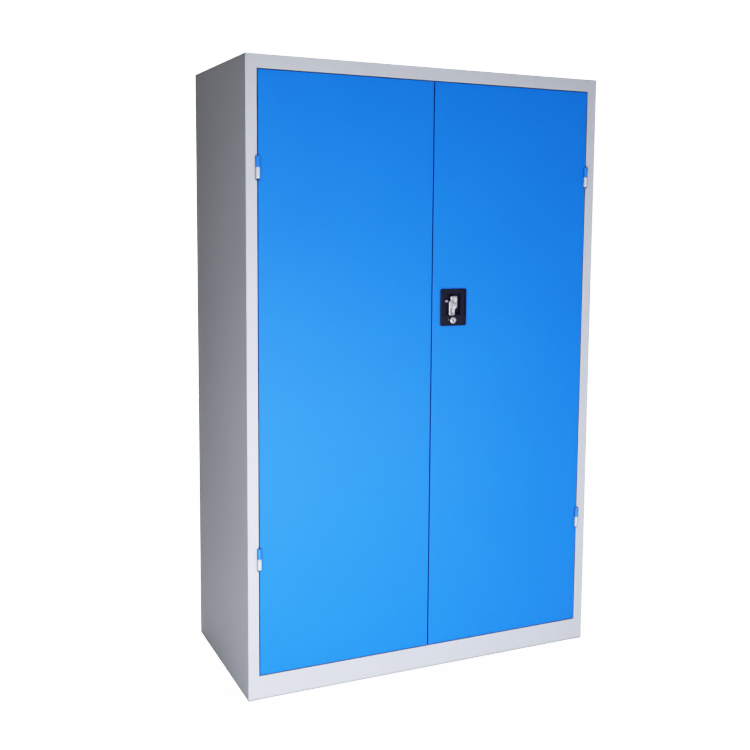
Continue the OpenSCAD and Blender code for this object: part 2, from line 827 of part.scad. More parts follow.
// Flat bar with a cross slot for its stud: x of its middle, from its slot's middle to its tip
module lock_bar(x, slot_z, slot_x, tip_z) {
    up = tip_z > slot_z ? 1 : -1;
    end_z = slot_z - up * bar_end;
    chamfer = 5;
    color(ZINC) along_y(bar_y, bar_back) difference() {
        translate([x - bar_w / 2, min(end_z, tip_z)]) square([bar_w, abs(tip_z - end_z)]);
        translate([slot_x, slot_z]) square([bar_slot_w, bar_slot_h], center = true);
        for (s = [-1, 1]) translate([x + s * bar_w / 2, tip_z]) rotate(45)
            square(chamfer, center = true);
    }
}

module upper_lock_bar() {
    lock_bar(lock_x + bar_x, pivot_z - stud_high, lock_x + bar_x, upper_tip);
}

module lower_lock_bar() {
    lock_bar(lock_x - bar_x, pivot_z + stud_high, lock_x - bar_x, lower_tip);
}

// Guide folded round a bar: feet on the level y0, h high from z
module bar_guide(x, z, y0, h) {
    w = bar_w + 2 * guide_slack + 2 * guide_t;
    d = bar_back + guide_slack + guide_t - y0;
    translate([x, y0, 0]) along_z(z, z + h) hat(w - guide_t, d, 8, guide_t, guide_t / 2);
}

module bar_guides() {
    upper_x = lock_x + bar_x;
    lower_x = lock_x - bar_x;
    color(ZINC) {
        bar_guide(upper_x, upper_tip - guide_tip_gap - guide_h, door_back, guide_h);
        bar_guide(upper_x, pivot_z + guide_from_pivot, front + door_t, 2 * guide_h);
        bar_guide(lower_x, pivot_z - guide_from_pivot - 2 * guide_h, front + door_t, 2 * guide_h);
        bar_guide(lower_x, (pivot_z - guide_from_pivot + lower_tip) / 2 - guide_h, front + door_t,
            2 * guide_h);
        bar_guide(lower_x, lower_tip, door_back, door_low + door_flange - lower_tip);
    }
}

// --- Bolts of the left door ---

// Puts a bolt made with its tip at z = 0 and its body below at the top or bottom of the door
module bolt_place(up) {
    z = up ? lip_low - bolt_tip_gap : deck_top + bolt_tip_gap;
    translate([bolt_x, bolt_y, z]) mirror([0, 0, up ? 0 : 1]) children();
}

module bolt(up) {
    tip = 2;
    color(ZINC) bolt_place(up) {
        translate([0, 0, -bolt_len]) cylinder(r = bolt_r, h = bolt_len - tip);
        translate([0, 0, -tip]) cylinder(r1 = bolt_r, r2 = bolt_r - tip, h = tip);
        translate([0, 0, knob_z]) rotate([-90, 0, 0]) cylinder(r = knob_r, h = bolt_r + 9);
    }
}

module bolt_plate(up) {
    floor_y = door_back - bolt_y;
    arch = bolt_r + 2.5;
    color(ZINC) bolt_place(up) difference() {
        union() {
            block([-bolt_plate_w / 2, floor_y, saddle_low - 4],
                [bolt_plate_w / 2, floor_y + bolt_plate_t, saddle_high + saddle_h + 4]);
            for (z = [saddle_low, saddle_high]) {
                block([-arch, floor_y, z], [arch, 0, z + saddle_h]);
                translate([0, 0, z]) cylinder(r = arch, h = saddle_h);
            }
        }
        for (z = [saddle_low, saddle_high]) translate([0, 0, z - 1])
            cylinder(r = bolt_r + running_gap, h = saddle_h + 2);
    }
}

// --- Every sub-part ---

side_panel(-1);  // side_panel_left
side_panel(1);  // side_panel_right
back_panel();
top_panel();
top_stiffener();
bottom_deck();
front_plinth();
rear_base_rail();
deck_support();
upright(-1, upright_front_y);  // upright_left_front
upright(-1, upright_rear_y);  // upright_left_rear
upright(1, upright_front_y);  // upright_right_front
upright(1, upright_rear_y);  // upright_right_rear
shelf(1);  // shelf_1
shelf(2);  // shelf_2
shelf(3);  // shelf_3
shelf(4);  // shelf_4
shelf_stiffeners();
shelf_clips(1);  // shelf_clips_1
shelf_clips(2);  // shelf_clips_2
shelf_clips(3);  // shelf_clips_3
shelf_clips(4);  // shelf_clips_4
door_bumpers();
hinge_frame_half(-1, upper_hinge_z);  // hinge_frame_half_left_upper
hinge_frame_half(-1, lower_hinge_z);  // hinge_frame_half_left_lower
hinge_frame_half(1, upper_hinge_z);  // hinge_frame_half_right_upper
hinge_frame_half(1, lower_hinge_z);  // hinge_frame_half_right_lower
hinge_door_half(-1, upper_hinge_z);  // hinge_door_half_left_upper
hinge_door_half(-1, lower_hinge_z);  // hinge_door_half_left_lower
hinge_door_half(1, upper_hinge_z);  // hinge_door_half_right_upper
hinge_door_half(1, lower_hinge_z);  // hinge_door_half_right_lower
hinge_pins();
hinge_washers();
door_panel_left();
door_panel_right();
door_stiffener(-1);  // door_stiffener_left
door_stiffener(1);  // door_stiffener_right
lock_housing();
lock_clamps();
clamp_screws();
lock_lever();
lever_spacer();
lever_nut();
lock_cam();
cam_studs();
stud_clips();
lock_barrel();
barrel_nut();
lock_plug();
lock_pawl();
pawl_screw();
upper_lock_bar();
lower_lock_bar();
bar_guides();
bolt(true);  // left_upper_bolt
bolt(false);  // left_lower_bolt
bolt_plate(true);  // left_upper_bolt_plate
bolt_plate(false);  // left_lower_bolt_plate
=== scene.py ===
import json
import math

import bmesh
import bpy
from mathutils import Matrix, Vector


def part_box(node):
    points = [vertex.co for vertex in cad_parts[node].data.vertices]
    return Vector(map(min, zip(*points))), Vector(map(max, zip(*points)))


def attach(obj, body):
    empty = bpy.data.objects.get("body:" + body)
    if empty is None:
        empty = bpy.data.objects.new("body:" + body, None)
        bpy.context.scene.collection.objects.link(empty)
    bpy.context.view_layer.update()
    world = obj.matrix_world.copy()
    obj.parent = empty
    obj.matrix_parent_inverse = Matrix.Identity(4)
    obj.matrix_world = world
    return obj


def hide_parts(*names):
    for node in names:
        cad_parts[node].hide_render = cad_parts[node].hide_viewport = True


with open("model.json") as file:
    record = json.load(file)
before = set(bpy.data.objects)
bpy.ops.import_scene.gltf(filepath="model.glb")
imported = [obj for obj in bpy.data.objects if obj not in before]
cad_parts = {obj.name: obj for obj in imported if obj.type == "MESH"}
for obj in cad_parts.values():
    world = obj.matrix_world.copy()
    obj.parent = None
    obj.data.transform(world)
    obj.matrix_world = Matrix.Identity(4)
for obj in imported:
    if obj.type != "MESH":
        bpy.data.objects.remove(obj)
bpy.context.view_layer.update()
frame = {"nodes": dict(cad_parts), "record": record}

mm = 0.001

# The camera stands a little under eye height, over three metres out and to the left of the
# cabinet, and looks slightly down on it along the photograph's line of sight.
camera_at = (-1.368, -3.107, 1.387)
camera_bearing = math.radians(26.27)
camera_dip = math.radians(6.06)
camera_roll = math.radians(0.78)
lens_length = 51.3
picture_shift = (-0.0867, -0.0667)

lens = bpy.data.cameras.new("camera")
lens.lens = lens_length
lens.shift_x, lens.shift_y = picture_shift
camera = bpy.data.objects.new("camera", lens)
camera.matrix_world = (
    Matrix.Translation(camera_at)
    @ Matrix.Rotation(-camera_bearing, 4, "Z")
    @ Matrix.Rotation(math.pi / 2 - camera_dip, 4, "X")
    @ Matrix.Rotation(camera_roll, 4, "Z")
)
bpy.context.scene.collection.objects.link(camera)
bpy.context.scene.camera = camera

# The photograph's light tones run softly up to white. The same shoulder is laid over the view:
# above its start, tones close in on white and never clip.
shoulder_from = 0.3
shoulder_white = 4.0
shoulder_steps = 24
all_channels = 3

view = bpy.context.scene.view_settings
view.view_transform = "Standard"
view.use_curve_mapping = True
view.curve_mapping.white_level = (shoulder_white, shoulder_white, shoulder_white)
curve = view.curve_mapping.curves[all_channels]
curve.points[0].location = (0.0, 0.0)
curve.points[1].location = (1.0, 1.0)
for step in range(shoulder_steps):
    light = shoulder_from + (shoulder_white - shoulder_from) * (step / shoulder_steps) ** 2
    tone = 1 - (1 - shoulder_from) * math.exp((shoulder_from - light) / (1 - shoulder_from))
    curve.points.new(light / shoulder_white, tone)
for point in curve.points:
    point.handle_type = "VECTOR"
view.curve_mapping.update()

# The studio is a plain pale floor that runs out into a white surround, with large soft
# lights. The floor keeps only a faint trace of the cabinet's shadow, as the photograph has none.
floor_half = 12.0
floor_shades = (0.84, 0.88)
floor_clouds = 0.7
floor_white = (0.985, 0.99, 1.0, 1.0)
shadow_kept = 0.16
shadow_start = 0.8
shadow_end = 2.6
surround_tint = (1.0, 0.97, 0.97, 1.0)
surround_light = 0.045
cool = (0.87, 0.915, 1.0)
plain = (1.0, 0.97, 1.0)
soft_lights = {
    "low_left_light": {"at": (-1.0, -2.2, 0.3), "aim": (-0.2, -0.28, 0.3), "size": 1.2, "watts": 92.0,
                       "tint": cool},
    "low_front_light": {"at": (0.3, -2.2, 0.12), "aim": (0.0, -0.28, 0.6), "size": 1.2, "watts": 31.5,
                        "tint": cool},
    "left_light": {"at": (-3.2, -1.6, 0.7), "aim": (-0.56, -0.2, 0.5), "size": 1.5, "watts": 6.5,
                   "tint": plain},
    "right_light": {"at": (4.2, -0.6, 1.4), "aim": (0.56, 0.0, 0.9), "size": 2.4, "watts": 22.0,
                    "tint": plain},
    "back_light": {"at": (1.5, 4.5, 3.0), "aim": (0.0, 0.28, 1.0), "size": 3.0, "watts": 110.0,
                   "tint": plain},
    "top_light": {"at": (0.0, 0.0, 4.2), "aim": (0.0, 0.0, 1.8), "size": 1.0, "watts": 7.0,
                  "tint": plain, "spread": math.radians(40)},
}


def put(tree, kind, inputs=(), **fields):
    """Adds a shader node, sets its fields, and sets or links its inputs."""
    node = tree.nodes.new(kind)
    for name, value in fields.items():
        setattr(node, name, value)
    for name, value in dict(inputs).items():
        if isinstance(value, bpy.types.NodeSocket):
            tree.links.new(value, node.inputs[name])
        else:
            node.inputs[name].default_value = value
    return node


def noise(tree, per_metre, detail):
    """Noise that stays with the piece, from 0 to 1."""
    place = put(tree, "ShaderNodeTexCoord").outputs["Object"]
    return put(tree, "ShaderNodeTexNoise", {"Vector": place, "Scale": per_metre,
                                            "Detail": detail}).outputs["Fac"]


def spread(tree, value, to_low, to_high, low=0.0, high=1.0):
    """A value that runs from low to high, spread over another range."""
    return put(tree, "ShaderNodeMapRange", {"Value": value, "From Min": low, "From Max": high,
                                            "To Min": to_low, "To Max": to_high}).outputs["Result"]


def new_material(name):
    """An empty node material: the material and its tree."""
    material = bpy.data.materials.new(name)
    material.use_nodes = True
    material.node_tree.nodes.clear()
    return material, material.node_tree


def mesh_piece(name, points, faces, material=None):
    """An object from points in metres and faces, at the origin of the cabinet's frame."""
    mesh = bpy.data.meshes.new(name)
    mesh.from_pydata(points, [], faces)
    shape = bmesh.new()
    shape.from_mesh(mesh)
    bmesh.ops.recalc_face_normals(shape, faces=shape.faces)
    shape.to_mesh(mesh)
    shape.free()
    if material:
        mesh.materials.append(material)
    piece = bpy.data.objects.new(name, mesh)
    bpy.context.scene.collection.objects.link(piece)
    return piece


floor_paint, tree = new_material("floor_paint")
paint = spread(tree, noise(tree, floor_clouds, detail=3.0), *floor_shades)
lit = put(tree, "ShaderNodeBsdfPrincipled", {"Base Color": paint, "Roughness": 0.9})
white = put(tree, "ShaderNodeEmission", {"Color": floor_white, "Strength": shoulder_white})
place = put(tree, "ShaderNodeTexCoord").outputs["Object"]
away = put(tree, "ShaderNodeVectorMath", {0: place}, operation="LENGTH")
bright = put(tree, "ShaderNodeMapRange", {"Value": away.outputs["Value"], "From Min": shadow_start,
             "From Max": shadow_end, "To Min": 1.0 - shadow_kept, "To Max": 1.0},
             interpolation_type="SMOOTHSTEP")
seen = put(tree, "ShaderNodeLightPath").outputs["Is Camera Ray"]
how_white = put(tree, "ShaderNodeMath", {0: bright.outputs["Result"], 1: seen}, operation="MULTIPLY")
both = put(tree, "ShaderNodeMixShader", {0: how_white.outputs[0], 1: lit.outputs["BSDF"],
                                         2: white.outputs["Emission"]})
put(tree, "ShaderNodeOutputMaterial", {"Surface": both.outputs["Shader"]})

corners = [(-floor_half, -floor_half, 0), (floor_half, -floor_half, 0),
           (floor_half, floor_half, 0), (-floor_half, floor_half, 0)]
floor = mesh_piece("floor", corners, [(0, 1, 2, 3)], floor_paint)

surround = bpy.data.worlds.new("surround")
surround.use_nodes = True
tree = surround.node_tree
tree.nodes.clear()
seen = put(tree, "ShaderNodeLightPath").outputs["Is Camera Ray"]
dim = put(tree, "ShaderNodeBackground", {"Color": surround_tint, "Strength": surround_light})
bright = put(tree, "ShaderNodeBackground", {"Color": (1.0, 1.0, 1.0, 1.0), "Strength": shoulder_white})
both = put(tree, "ShaderNodeMixShader", {0: seen, 1: dim.outputs["Background"],
                                         2: bright.outputs["Background"]})
put(tree, "ShaderNodeOutputWorld", {"Surface": both.outputs["Shader"]})
bpy.context.scene.world = surround

for name, light in soft_lights.items():
    lamp = bpy.data.lights.new(name, "AREA")
    lamp.size = light["size"]
    lamp.energy = light["watts"]
    lamp.color = light["tint"]
    lamp.spread = light.get("spread", lamp.spread)
    stand = bpy.data.objects.new(name, lamp)
    stand.location = light["at"]
    aim = stand.location - Vector(light["aim"])
    stand.rotation_euler = aim.to_track_quat("Z", "Y").to_euler()
    stand.visible_camera = False
    bpy.context.scene.collection.objects.link(stand)

# The body is sheet steel, folded and spot welded: side panels with their stiles, top with its
# rail, plinth, back and inside parts. All of it wears one light grey baked powder coat, a fine
# orange peel over sheet that is never quite flat, with painted shade darkening its narrow gaps and corners.
grey_paint = (0.51, 0.515, 0.545)
grey_gloss = 0.28
peel_size = 2.2 * mm
peel_depth = 0.02 * mm
body_wave = 0.6 * mm
waves_per_metre = 2.2
clouds_per_metre = 3.5
cloud_shades = (0.95, 1.05)
coat_roughness = (0.42, 0.54)
gap_shade_reach = 8.0 * mm
gap_shade_darkest = 0.15
gap_shade_full = 0.35


def times(tree, one, two):
    """The product of two values."""
    return put(tree, "ShaderNodeMath", {0: one, 1: two}, operation="MULTIPLY").outputs[0]


def shaded(tree, colour, shade):
    """A colour made lighter or darker by a factor."""
    return put(tree, "ShaderNodeVectorMath", {0: colour, "Scale": shade}, operation="SCALE").outputs["Vector"]


def bumped(tree, height, distance):
    """The normal of a surface with a fine relief."""
    return put(tree, "ShaderNodeBump", {"Height": height, "Distance": distance}).outputs["Normal"]


def surface(tree, inputs):
    """Ends a material in its Principled shader."""
    skin = put(tree, "ShaderNodeBsdfPrincipled", inputs)
    put(tree, "ShaderNodeOutputMaterial", {"Surface": skin.outputs["BSDF"]})


powder_coat = bpy.data.node_groups.new("powder_coat", "ShaderNodeTree")
for name, kind in (("Paint", "NodeSocketColor"), ("Peel Size", "NodeSocketFloat"),
                   ("Peel Depth", "NodeSocketFloat"), ("Sheet Wave", "NodeSocketFloat")):
    powder_coat.interface.new_socket(name, in_out="INPUT", socket_type=kind)
for name, kind in (("Color", "NodeSocketColor"), ("Roughness", "NodeSocketFloat"),
                   ("Height", "NodeSocketFloat")):
    powder_coat.interface.new_socket(name, in_out="OUTPUT", socket_type=kind)
tree = powder_coat
given = put(tree, "NodeGroupInput").outputs
per_metre = put(tree, "ShaderNodeMath", {0: 1.0, 1: given["Peel Size"]}, operation="DIVIDE").outputs[0]
peel = times(tree, noise(tree, per_metre, detail=2.0), given["Peel Depth"])
wave = times(tree, noise(tree, waves_per_metre, detail=1.0), given["Sheet Wave"])
height = put(tree, "ShaderNodeMath", {0: peel, 1: wave}, operation="ADD").outputs[0]
cloud = noise(tree, clouds_per_metre, detail=4.0)
# Ambient occlusion darkens the paint where narrow gaps and corners shut out light: painted shade.
open_air = put(tree, "ShaderNodeAmbientOcclusion", {"Distance": gap_shade_reach}, samples=8).outputs["AO"]
painted_gap_shade = spread(tree, open_air, gap_shade_darkest, 1.0, gap_shade_full)
tone_and_gap_shade = times(tree, spread(tree, cloud, *cloud_shades), painted_gap_shade)
put(tree, "NodeGroupOutput", {"Color": shaded(tree, given["Paint"], tone_and_gap_shade),
                              "Roughness": spread(tree, cloud, *coat_roughness), "Height": height})


def coated(name, paint, sheet_wave, gloss_level):
    """A powder-coat material in one paint."""
    material, tree = new_material(name)
    coat = put(tree, "ShaderNodeGroup", {"Paint": (*paint, 1.0), "Peel Size": peel_size,
               "Peel Depth": peel_depth, "Sheet Wave": sheet_wave}, node_tree=powder_coat).outputs
    surface(tree, {"Base Color": coat["Color"], "Roughness": coat["Roughness"],
                   "Specular IOR Level": gloss_level, "Normal": bumped(tree, coat["Height"], 1.0)})
    return material


def finish_slot(slot, material):
    """Gives every CAD piece of one material slot its finish."""
    for entry in frame["record"]["subparts"]:
        if entry["material_slot"] == slot:
            slots = frame["nodes"][entry["node"]].data.materials
            slots.clear()
            slots.append(material)


grey_coat = coated("grey_powder_coat", grey_paint, body_wave, grey_gloss)
finish_slot("grey_paint", grey_coat)

# Where the stiles meet the top rail and the plinth, the joints are welded and ground flush, so
# that the painted front of the frame shows no seam. Each filler closes the groove of one fold.
sheet = 1.0 * mm
fold_radius = 2.2 * mm
weld_sweep = 60
weld_proud = 0.03 * mm
weld_lap = 0.4 * mm
weld_feather = 0.3 * mm
weld_root = (1.2 * mm, 0.1 * mm)

plinth_low, plinth_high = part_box("front_plinth")
door_low, door_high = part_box("door_panel_left")
front_y = plinth_low.y
open_half = plinth_high.x
rail_under = door_high.z + (door_low.z - plinth_high.z)
rail_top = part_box("top_panel")[1].z
joint_heights = {"lower": (plinth_low.z, plinth_high.z - fold_radius),
                 "upper": (rail_under + fold_radius, rail_top - fold_radius)}


def arc(centre, radius, start, end, steps):
    """Points on a circle from one angle to another, in degrees."""
    turns = [math.radians(start + (end - start) * k / steps) for k in range(steps + 1)]
    return [(centre[0] + radius * math.cos(t), centre[1] + radius * math.sin(t)) for t in turns]


def solid(name, rings, material=None):
    """A solid skinned over rings of as many points each, closed at both ends."""
    count = len(rings[0])
    points = [point for ring in rings for point in ring]
    faces = [tuple(range(count)), tuple(range(len(points) - count, len(points)))]
    for base in range(0, len(points) - count, count):
        faces += [(base + k, base + (k + 1) % count, base + count + (k + 1) % count, base + count + k)
                  for k in range(count)]
    return mesh_piece(name, points, faces, material)


def upright(name, outline, low, high, material=None):
    """A straight bar along Z over an (x, y) outline."""
    return solid(name, [[(x, y, z) for x, y in outline] for z in (low, high)], material)


def joined(name, pieces):
    """One object from several, under a new name."""
    shape = bmesh.new()
    for piece in pieces:
        shape.from_mesh(piece.data)
    mesh = bpy.data.meshes.new(name)
    shape.to_mesh(mesh)
    shape.free()
    for material in pieces[0].data.materials:
        mesh.materials.append(material)
    for piece in pieces:
        bpy.data.meshes.remove(piece.data)
    whole = bpy.data.objects.new(name, mesh)
    bpy.context.scene.collection.objects.link(whole)
    return whole


inner = open_half - weld_lap
outer = open_half + fold_radius + weld_lap
for level, (low, high) in joint_heights.items():
    bars = []
    for side in (-1, 1):
        face = [(side * inner, front_y), (side * (inner + weld_feather), front_y - weld_proud),
                (side * (outer - weld_feather), front_y - weld_proud), (side * outer, front_y)]
        fold = arc((side * (open_half + fold_radius), front_y + fold_radius), fold_radius, -90,
                   -90 - side * weld_sweep, steps=6)
        root = [(side * open_half, front_y + deep) for deep in weld_root]
        bars.append(upright("weld", face + fold + root, low, high, grey_coat))
    weld = joined(f"{level}_frame_welds", bars)
    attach(weld, "carcass")

# The doors are shallow pans of the same sheet in bright blue powder coat, each with a folded
# stiffener up its inner face.
blue_paint = (0.003, 0.163, 0.80)
blue_gloss = 0.2
door_wave = 1.0 * mm

blue_coat = coated("blue_powder_coat", blue_paint, door_wave, blue_gloss)
finish_slot("blue_paint", blue_coat)

# The lock's housing is one black moulding: a plate over the door with a rounded rim, a dish in
# which the lever turns, a finger recess behind the lever, and a seat for the key barrel below.
plastic_black = (0.003, 0.0035, 0.013)
plastic_gloss = 0.16
plastic_shades = (0.75, 1.25)
grain_per_metre = 1800.0
grain_depth = 0.04 * mm
rim = 4.5 * mm
rim_round = 1.0 * mm
plate_corner = 5.0 * mm
box_corner = 1.0 * mm
housing_wall = 2.0 * mm
dish_step = 24.5 * mm
dish_floor = -278.5 * mm
dish_corner = 1.5 * mm
ledge_y = -281.8 * mm
ledge_lap = 2.0 * mm
channel_half = 25.0 * mm
channel_inset = 2.5 * mm
channel_floor = -277.8 * mm
recess_floor_y = -266.5 * mm
recess_up = 42.0 * mm
recess_down = 21.0 * mm
recess_corner = 2.0 * mm
recess_box_corner = 2.5 * mm
pivot_up = 14.0 * mm
barrel_down = 38.5 * mm
journal_bore = 6.05 * mm
barrel_bore = 8.55 * mm
boss_radius = 12.0 * mm
boss_down = 56.0 * mm
web_corner = 0.5 * mm
clamp_boss = 3.5 * mm
clamp_right = 28.0 * mm
screw_radius = 1.5 * mm
screw_deep = 7.0 * mm
edge_round = 0.35 * mm
lap = 0.5 * mm
over = 1.0 * mm
quarter = (0, 22.5, 45, 67.5, 90)

plate_low, plate_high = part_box("lock_housing")
lock_at = ((plate_low.x + plate_high.x) / 2, (plate_low.z + plate_high.z) / 2)
plate_half_w = (plate_high.x - plate_low.x) / 2
plate_half_h = (plate_high.z - plate_low.z) / 2
plate_y = plate_low.y
housing_back = plate_high.y
dish_half_w = plate_half_w - rim
dish_half_h = plate_half_h - rim
box_half_w = dish_half_w + housing_wall
box_half_h = dish_half_h + housing_wall
clamp_points = ((0.0, box_half_h - clamp_boss), (clamp_right, clamp_boss - box_half_h))


def rounded(left, right, low, high, radius, steps=8):
    """Outline of a rectangle with round corners, in (x, z)."""
    spots = ((right - radius, high - radius, 0), (left + radius, high - radius, 90),
             (left + radius, low + radius, 180), (right - radius, low + radius, 270))
    return [spot for x, z, start in spots for spot in arc((x, z), radius, start, start + 90, steps)]


def centred(half_w, half_h, radius, steps=8):
    """The same outline round the middle."""
    return rounded(-half_w, half_w, -half_h, half_h, radius, steps)


def disc(x, z, radius, steps=48):
    """Outline of a circle."""
    return arc((x, z), radius, 0, 360 - 360 / steps, steps - 1)


def lofted(name, layers, centre, material=None):
    """A solid from front to back through (y, outline) layers."""
    return solid(name, [[(centre[0] + x, y, centre[1] + z) for x, z in outline] for y, outline in layers],
                 material)


def block(name, outline, front, back, centre, material=None):
    """A solid over one outline from front to back."""
    return lofted(name, [(front, outline), (back, outline)], centre, material)


def combine(piece, other, how):
    """Cuts the second solid from the first or joins it to it, and drops the second."""
    step = piece.modifiers.new("step", "BOOLEAN")
    step.operation = how
    step.object = other
    step.solver = "EXACT"
    step.material_mode = "TRANSFER"
    bpy.context.view_layer.update()
    shaped = piece.evaluated_get(bpy.context.evaluated_depsgraph_get())
    mesh = bpy.data.meshes.new_from_object(shaped)
    piece.modifiers.clear()
    piece.data = mesh
    bpy.data.objects.remove(other)


def bevelled(part, width, segments, sharper_than):
    """Rounds the edges that are sharper than so many degrees."""
    edges = part.modifiers.new("edges", "BEVEL")
    edges.width = width
    edges.segments = segments
    edges.limit_method = "ANGLE"
    edges.angle_limit = math.radians(sharper_than)
    return edges


def soften(piece, width, segments=2):
    """Rounds the edges of a moulded or cast piece and shades it smooth."""
    piece.data.shade_smooth()
    bevelled(piece, width, segments, sharper_than=30).harden_normals = True


black_plastic, tree = new_material("black_plastic")
grain = noise(tree, grain_per_metre, detail=2.0)
surface(tree, {"Base Color": shaded(tree, plastic_black, spread(tree, grain, *plastic_shades)),
               "Roughness": 0.45, "Specular IOR Level": plastic_gloss,
               "Normal": bumped(tree, grain, grain_depth)})

rim_layers = [(front_y, 0.0)] + [
    (plate_y + rim_round * (1 - math.cos(math.radians(turn))), rim_round * (1 - math.sin(math.radians(turn))))
    for turn in reversed(quarter)]
plate_layers = [(y, centred(plate_half_w - inset, plate_half_h - inset, plate_corner - inset))
                for y, inset in rim_layers]
housing = lofted("lock_housing_moulding", plate_layers, lock_at, black_plastic)
back_box = centred(box_half_w, box_half_h, box_corner)
combine(housing, block("back_box", back_box, front_y - lap, housing_back, lock_at), "UNION")

cuts = {
    "dish": (dish_floor, rounded(-dish_half_w, dish_half_w, -dish_step, dish_half_h, dish_corner)),
    "ledge": (ledge_y, rounded(-dish_half_w, dish_half_w, -dish_half_h, ledge_lap - dish_step, dish_corner)),
    "channel": (channel_floor, rounded(-channel_half, channel_half, channel_inset - dish_step,
                                       dish_half_h - channel_inset, dish_corner)),
    "recess": (recess_floor_y, rounded(-channel_half, channel_half, -recess_down, recess_up, recess_corner)),
    "barrel_seat": (housing_back + over, disc(0, -barrel_down, barrel_bore)),
    "journal_seat": (housing_back + over, disc(0, pivot_up, journal_bore)),
}
for name, (floor_y, outline) in cuts.items():
    combine(housing, block(name, outline, plate_y - over, floor_y, lock_at), "DIFFERENCE")

hollow_outline = centred(box_half_w - housing_wall, box_half_h - housing_wall, box_corner)
hollow = block("hollow", hollow_outline, dish_floor + housing_wall, housing_back + over, lock_at)
kept = {
    "recess_box": rounded(-channel_half - housing_wall, channel_half + housing_wall,
                          -recess_down - housing_wall, recess_up + housing_wall, recess_box_corner),
    "barrel_boss": disc(0, -barrel_down, boss_radius),
    "barrel_web": rounded(-boss_radius, boss_radius, -boss_down, -barrel_down, web_corner),
    "clamp_boss_1": disc(*clamp_points[0], clamp_boss),
    "clamp_boss_2": disc(*clamp_points[1], clamp_boss),
}
for name, outline in kept.items():
    combine(hollow, block(name, outline, front_y, housing_back + 2 * over, lock_at), "DIFFERENCE")
combine(housing, hollow, "DIFFERENCE")
for point in clamp_points:
    combine(housing, block("screw_seat", disc(*point, screw_radius, steps=24), housing_back - screw_deep,
                           housing_back + over, lock_at), "DIFFERENCE")
soften(housing, edge_round)
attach(housing, "door_right")
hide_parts("lock_housing")

# A small plated stop stands in the finger recess beside the lever's head, with its end just
# behind the level in which the lever turns.
plating_colour = (0.60, 0.58, 0.61)
plating_shades = (0.8, 1.1)
plating_grain = (0.3, 0.7)
plating_roughness = (0.32, 0.5)
casting_grain = 260.0
casting_ripple = 0.5 * mm
stop_low = (-24.9 * mm, 15.5 * mm)
stop_high = (-16.6 * mm, 21.3 * mm)
stop_front = -278.9 * mm
stop_corner = 1.2 * mm
stop_round = 0.6 * mm

plated_casting, tree = new_material("plated_casting")
grain = noise(tree, casting_grain, detail=3.0)
shade = spread(tree, grain, *plating_shades, *plating_grain)
surface(tree, {"Base Color": shaded(tree, plating_colour, shade), "Metallic": 1.0,
               "Roughness": spread(tree, grain, *plating_roughness),
               "Normal": bumped(tree, times(tree, grain, casting_ripple), 1.0)})
finish_slot("lever_chrome", plated_casting)

stop_outline = rounded(stop_low[0], stop_high[0], stop_low[1], stop_high[1], stop_corner)
stop = block("lever_stop", stop_outline, stop_front, recess_floor_y + lap, lock_at, plated_casting)
soften(stop, stop_round, segments=3)
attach(stop, "door_right")

# The lever is one plated zinc casting: a broad head over its hub and an arm drawn in on the
# right for the finger, crowned on the front, with its journal, square and threaded end behind.
lever_left = 14.5 * mm
lever_right = 12.7 * mm
lever_head = 20.4 * mm
lever_arm = 38.0 * mm
lever_thick = 5.0 * mm
arm_right = 4.6 * mm
arm_narrows = (-22.0 * mm, -12.0 * mm)
head_inset = 4.4 * mm
head_narrows = (2.0 * mm, 8.0 * mm)
head_corner = 4.0 * mm
arm_corners = (5.5 * mm, 3.5 * mm)
crown_round = 2.2 * mm
crown_flat = 0.2 * mm
crown_steps = 12
back_round = 0.6 * mm
scoop_deep = 1.1 * mm
scoop_top = (10.0 * mm, 18.0 * mm)
scoop_foot = (-36.0 * mm, -28.0 * mm)
dimple_deep = 0.5 * mm
dimple_at = (2.0 * mm, 5.0 * mm)
dimple_reach = (8.0 * mm, 5.5 * mm)
shoulder_proud = 0.4 * mm
shoulder_at = (-8.5 * mm, 0.5 * mm)
shoulder_reach = (5.0 * mm, 1.0 * mm)
fine_level = 0.5 * mm
coarse_level = 1.0 * mm
fine_reach = 5.5 * mm
hub_radius = 9.0 * mm
hub_sunk = 1.5 * mm
hub_clear = 0.3 * mm
turned_chamfer = 0.6 * mm
journal_radius = 6.0 * mm
square_half = 4.0 * mm
square_corner = 0.5 * mm
thread_radius = 3.0 * mm
cam_front = -260.8 * mm
cam_back = -257.8 * mm
thread_end = -252.3 * mm

lever_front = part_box("lock_lever")[0].y
lever_back = lever_front + lever_thick
pivot = (lock_at[0], lock_at[1] + pivot_up)


def ease(value, low, high):
    """A smooth step from 0 at low to 1 at high."""
    share = min(max((value - low) / (high - low), 0.0), 1.0)
    return share * share * (3 - 2 * share)


def mound(spot, middle, outer, inner):
    """1 within the inner reach of a middle, easing to 0 at the outer one."""
    return ease(-math.dist(spot, middle), -outer, -inner)


def corner_inset(z, end, radius):
    """How far a round corner draws an edge in at height z, with the end of the piece at end."""
    reach = radius - abs(end - z)
    return radius - math.sqrt(radius * radius - reach * reach) if reach > 0 else 0.0


def lever_edges(z):
    """Left and right edge of the lever at a height from its pivot."""
    head = corner_inset(z, lever_head, head_corner)
    left = -lever_left + head_inset * ease(z, *head_narrows)
    left += head + corner_inset(z, -lever_arm, arm_corners[0])
    right = arm_right + (lever_right - arm_right) * ease(z, *arm_narrows)
    right -= head + corner_inset(z, -lever_arm, arm_corners[1])
    return left, right


